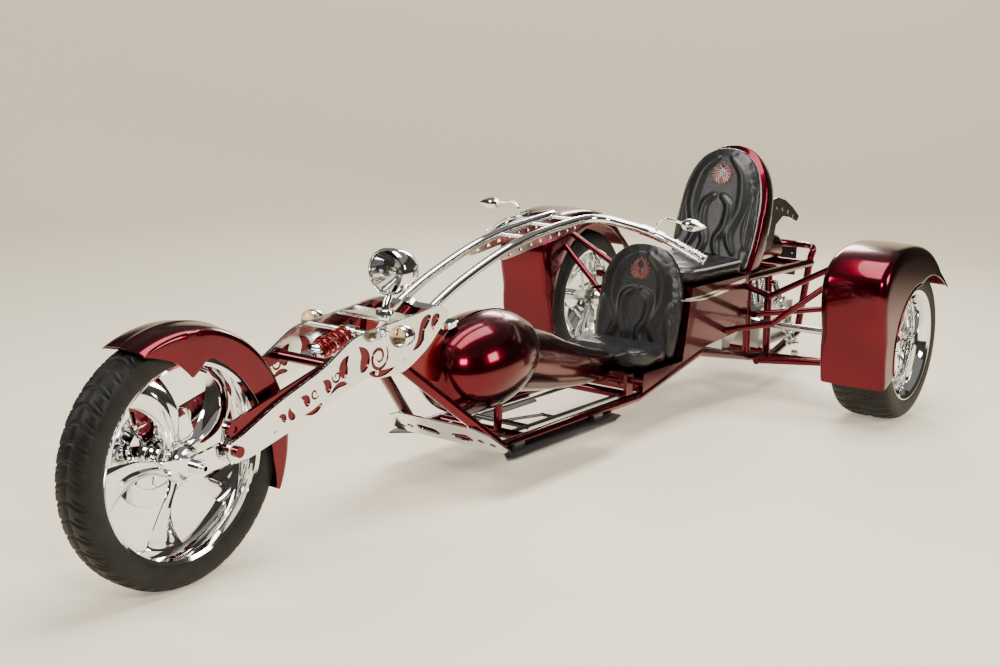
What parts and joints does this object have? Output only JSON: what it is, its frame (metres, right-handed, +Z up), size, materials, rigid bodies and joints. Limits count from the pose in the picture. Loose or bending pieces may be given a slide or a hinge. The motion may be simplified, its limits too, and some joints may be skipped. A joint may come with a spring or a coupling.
{
  "type": "long custom motorized trike",
  "caption": "Low custom trike with a raked leading-link fork, a tandem pair of bucket seats, a rear engine and independent rear suspension.",
  "frame": {"origin": "on the ground, under the middle of the outer box", "axes": "+X forward along the vehicle, +Y to the rider's left, +Z up"},
  "size_m": [4.2065, 1.858, 1.0838],
  "materials": {
    "candy_red": "gloss candy",
    "chrome": "mirror",
    "polished": "polished",
    "steel": "satin",
    "black_metal": "satin black",
    "leather": "semi-gloss grain",
    "spring_red": "gloss",
    "tyre": "matt"
  },
  "bodies": {
    "frame": {"front_frame": "candy_red", "rear_frame": "candy_red", "neck_cover": "candy_red", "skid_plate": "polished", "left_floorboard": "black_metal", "right_floorboard": "black_metal", "fuel_tank": "candy_red", "fuel_cap": "chrome", "body_spine": "candy_red", "foot_controls": "candy_red", "brake_linkage": "black_metal", "driver_cushion": "leather", "driver_backrest": "leather", "passenger_cushion": "leather", "passenger_backrest": "leather", "seat_shell": "candy_red", "body_tub": "candy_red", "engine_block": "polished", "engine_cylinders": "polished", "air_cleaner": "chrome", "exhaust_pipes": "chrome", "tail_cowl": "candy_red", "rack_rails": "polished", "tail_hoop": "candy_red", "plate_bracket": "black_metal", "differential": "polished", "half_shafts": "steel", "control_arms": "candy_red", "rear_knuckles": "polished", "rear_shocks": "chrome", "left_fender": "candy_red", "right_fender": "candy_red", "fender_struts": "candy_red"},
    "steering": {"fork_plates": "polished", "fork_clamps": "polished", "fork_rockers": "polished", "front_axle": "chrome", "push_arms": "candy_red", "front_shock": "spring_red", "front_fender": "candy_red", "brake_caliper": "candy_red", "headlight": "chrome", "turn_signals": "chrome", "handlebars": "chrome", "bar_plates": "polished", "hand_grips": "chrome", "mirrors": "chrome"},
    "front_wheel": {"front_rim": "chrome", "front_tyre": "tyre"},
    "left_wheel": {"left_rim": "chrome", "left_tyre": "tyre"},
    "right_wheel": {"right_rim": "chrome", "right_tyre": "tyre"}
  },
  "joints": [
    {"name": "steering", "type": "hinge", "parent": "frame", "child": "steering", "pos_m": [0.85, 0, 0.57], "axis": [-0.8526, 0, 0.5225], "range_deg": [-20, 20]},
    {"name": "front_wheel_spin", "type": "hinge", "parent": "steering", "child": "front_wheel", "pos_m": [1.75, 0, 0.35], "axis": [0, 1, 0], "continuous": true},
    {"name": "left_wheel_spin", "type": "hinge", "parent": "frame", "child": "left_wheel", "pos_m": [-1.45, 0.78, 0.321], "axis": [0, 1, 0], "continuous": true},
    {"name": "right_wheel_spin", "type": "hinge", "parent": "frame", "child": "right_wheel", "pos_m": [-1.45, -0.78, 0.321], "axis": [0, 1, 0], "continuous": true}
  ]
}
